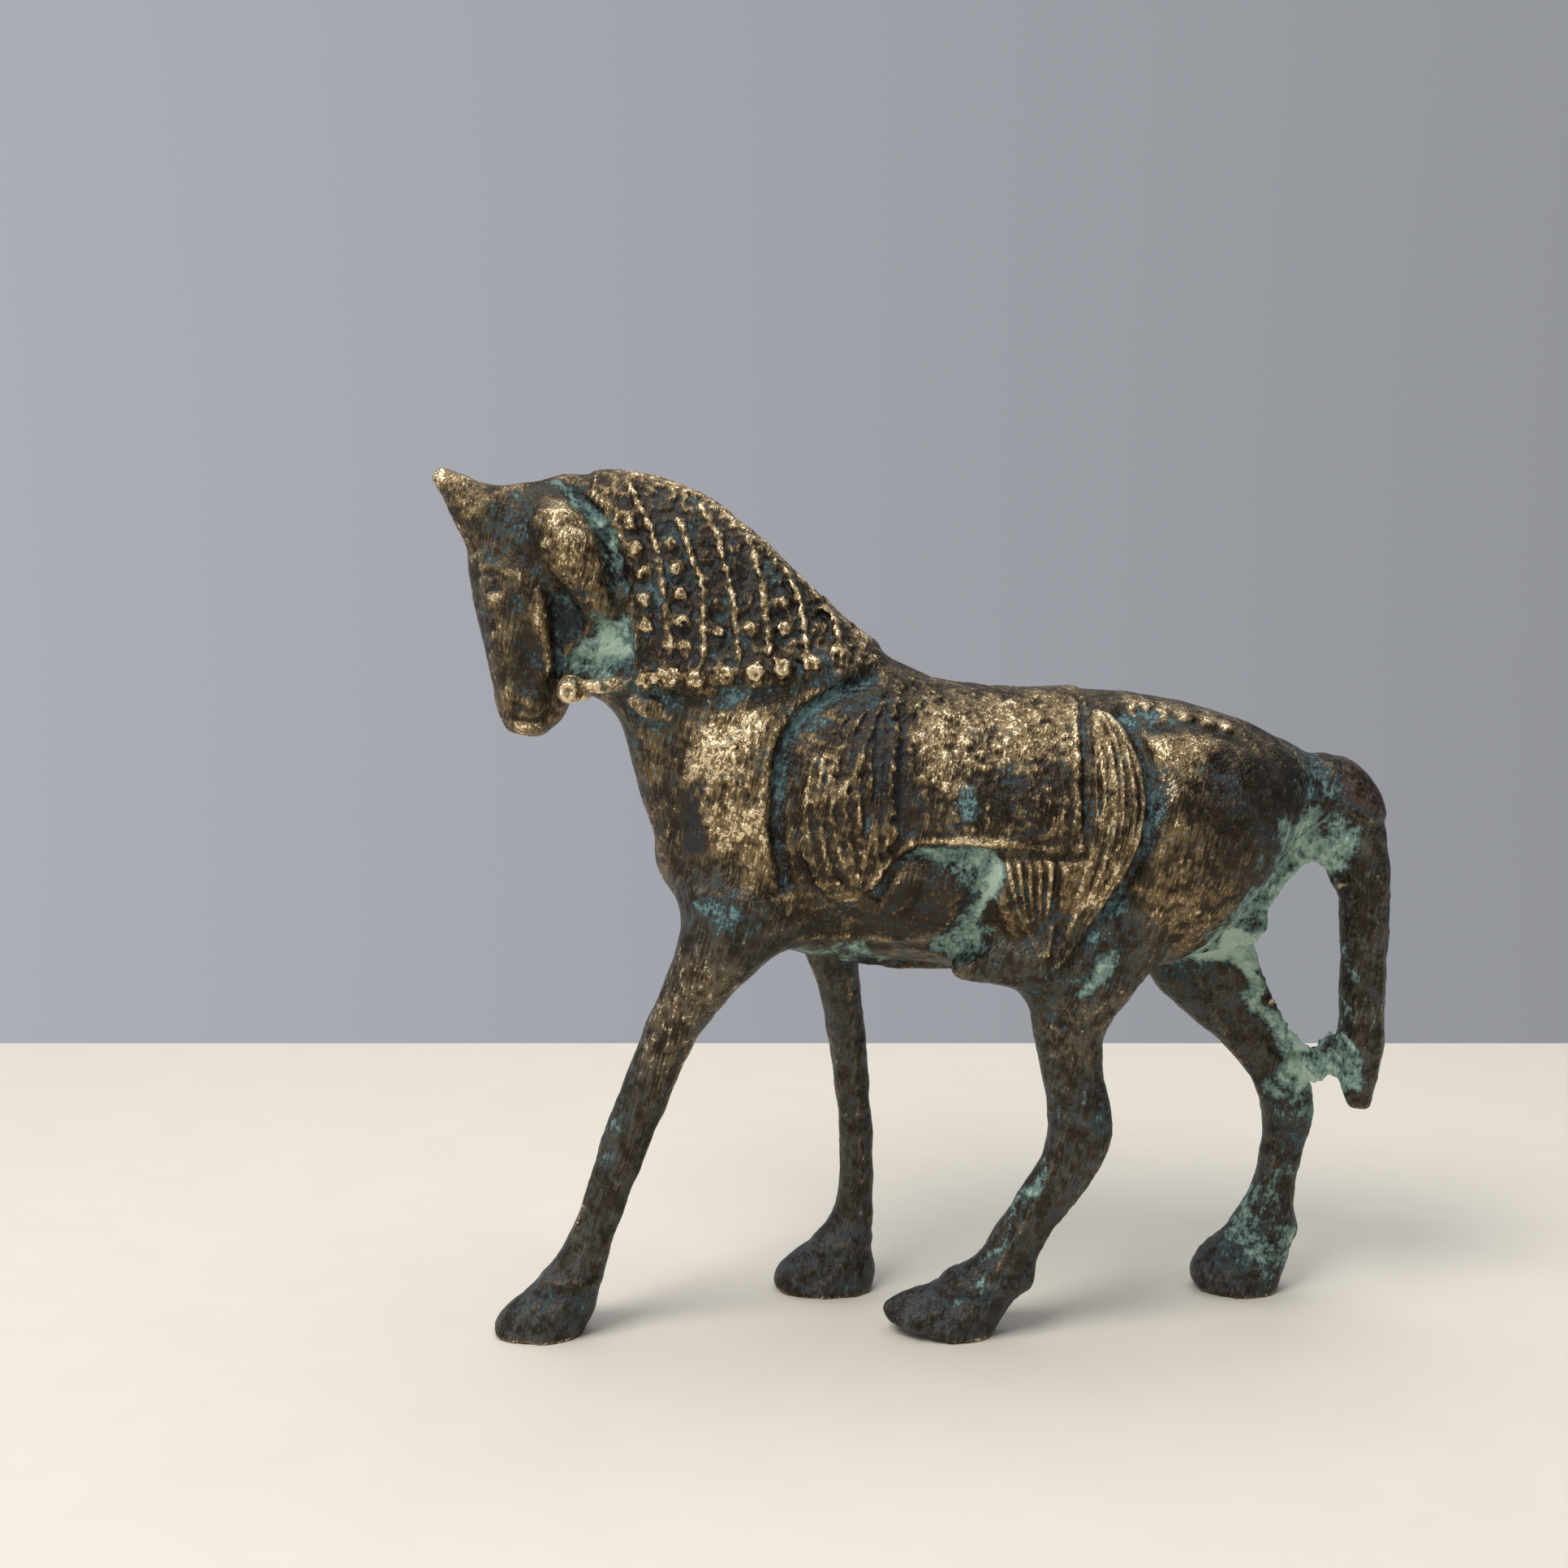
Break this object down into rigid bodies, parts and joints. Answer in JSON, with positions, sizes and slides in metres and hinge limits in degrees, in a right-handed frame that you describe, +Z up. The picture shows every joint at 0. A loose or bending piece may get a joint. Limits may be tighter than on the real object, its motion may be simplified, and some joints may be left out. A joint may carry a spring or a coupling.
{
  "type": "horse figurine",
  "caption": "Small cast bronze figurine of a walking horse with arched neck, beaded mane, bridle and tasselled saddle, patinated, standing on its own hooves.",
  "frame": {"origin": "centre of the statue's footprint box on the table, at the level of the soles", "axes": "+Z up, the horse faces -X, its left side faces -Y"},
  "size_m": [0.1411, 0.0372, 0.1261],
  "materials": {
    "bronze_body": "aged bronze, brushed high spots over a brown patina with blue-green verdigris in the hollows",
    "bronze_relief": "aged bronze, rubbed bright on the raised relief",
    "bronze_dark": "dark brown-black patina, rough cast",
    "verdigris_flash": "untrimmed casting flash under chalky pale green verdigris"
  },
  "bodies": {
    "root": {"torso": "bronze_body", "neck": "bronze_body", "head": "bronze_body", "left_ear": "bronze_body", "right_ear": "bronze_body", "left_cheek": "bronze_body", "right_cheek": "bronze_body", "left_fore_leg": "bronze_dark", "right_fore_leg": "bronze_dark", "left_hind_leg": "bronze_dark", "right_hind_leg": "bronze_dark", "left_fore_hoof": "bronze_dark", "right_fore_hoof": "bronze_dark", "left_hind_hoof": "bronze_dark", "right_hind_hoof": "bronze_dark", "tail": "bronze_dark", "tail_band": "bronze_dark", "left_eye": "bronze_dark", "right_eye": "bronze_dark", "mane": "bronze_relief", "saddle": "bronze_relief", "left_mane_cords": "bronze_relief", "right_mane_cords": "bronze_relief", "left_mane_knots": "bronze_relief", "right_mane_knots": "bronze_relief", "left_rein": "bronze_relief", "right_rein": "bronze_relief", "left_bit_ring": "bronze_relief", "right_bit_ring": "bronze_relief", "left_cheek_strap": "bronze_relief", "right_cheek_strap": "bronze_relief", "left_throat_tassel": "bronze_relief", "right_throat_tassel": "bronze_relief", "left_saddle_border": "bronze_relief", "right_saddle_border": "bronze_relief", "left_front_flap": "bronze_relief", "right_front_flap": "bronze_relief", "left_rear_flap": "bronze_relief", "right_rear_flap": "bronze_relief", "left_collar": "bronze_relief", "right_collar": "bronze_relief", "left_girth_pad": "bronze_relief", "right_girth_pad": "bronze_relief", "left_crupper": "bronze_relief", "right_crupper": "bronze_relief", "belly_seam": "verdigris_flash", "rear_web": "verdigris_flash", "leg_web": "verdigris_flash", "tail_bridge": "verdigris_flash"}
  },
  "joints": []
}
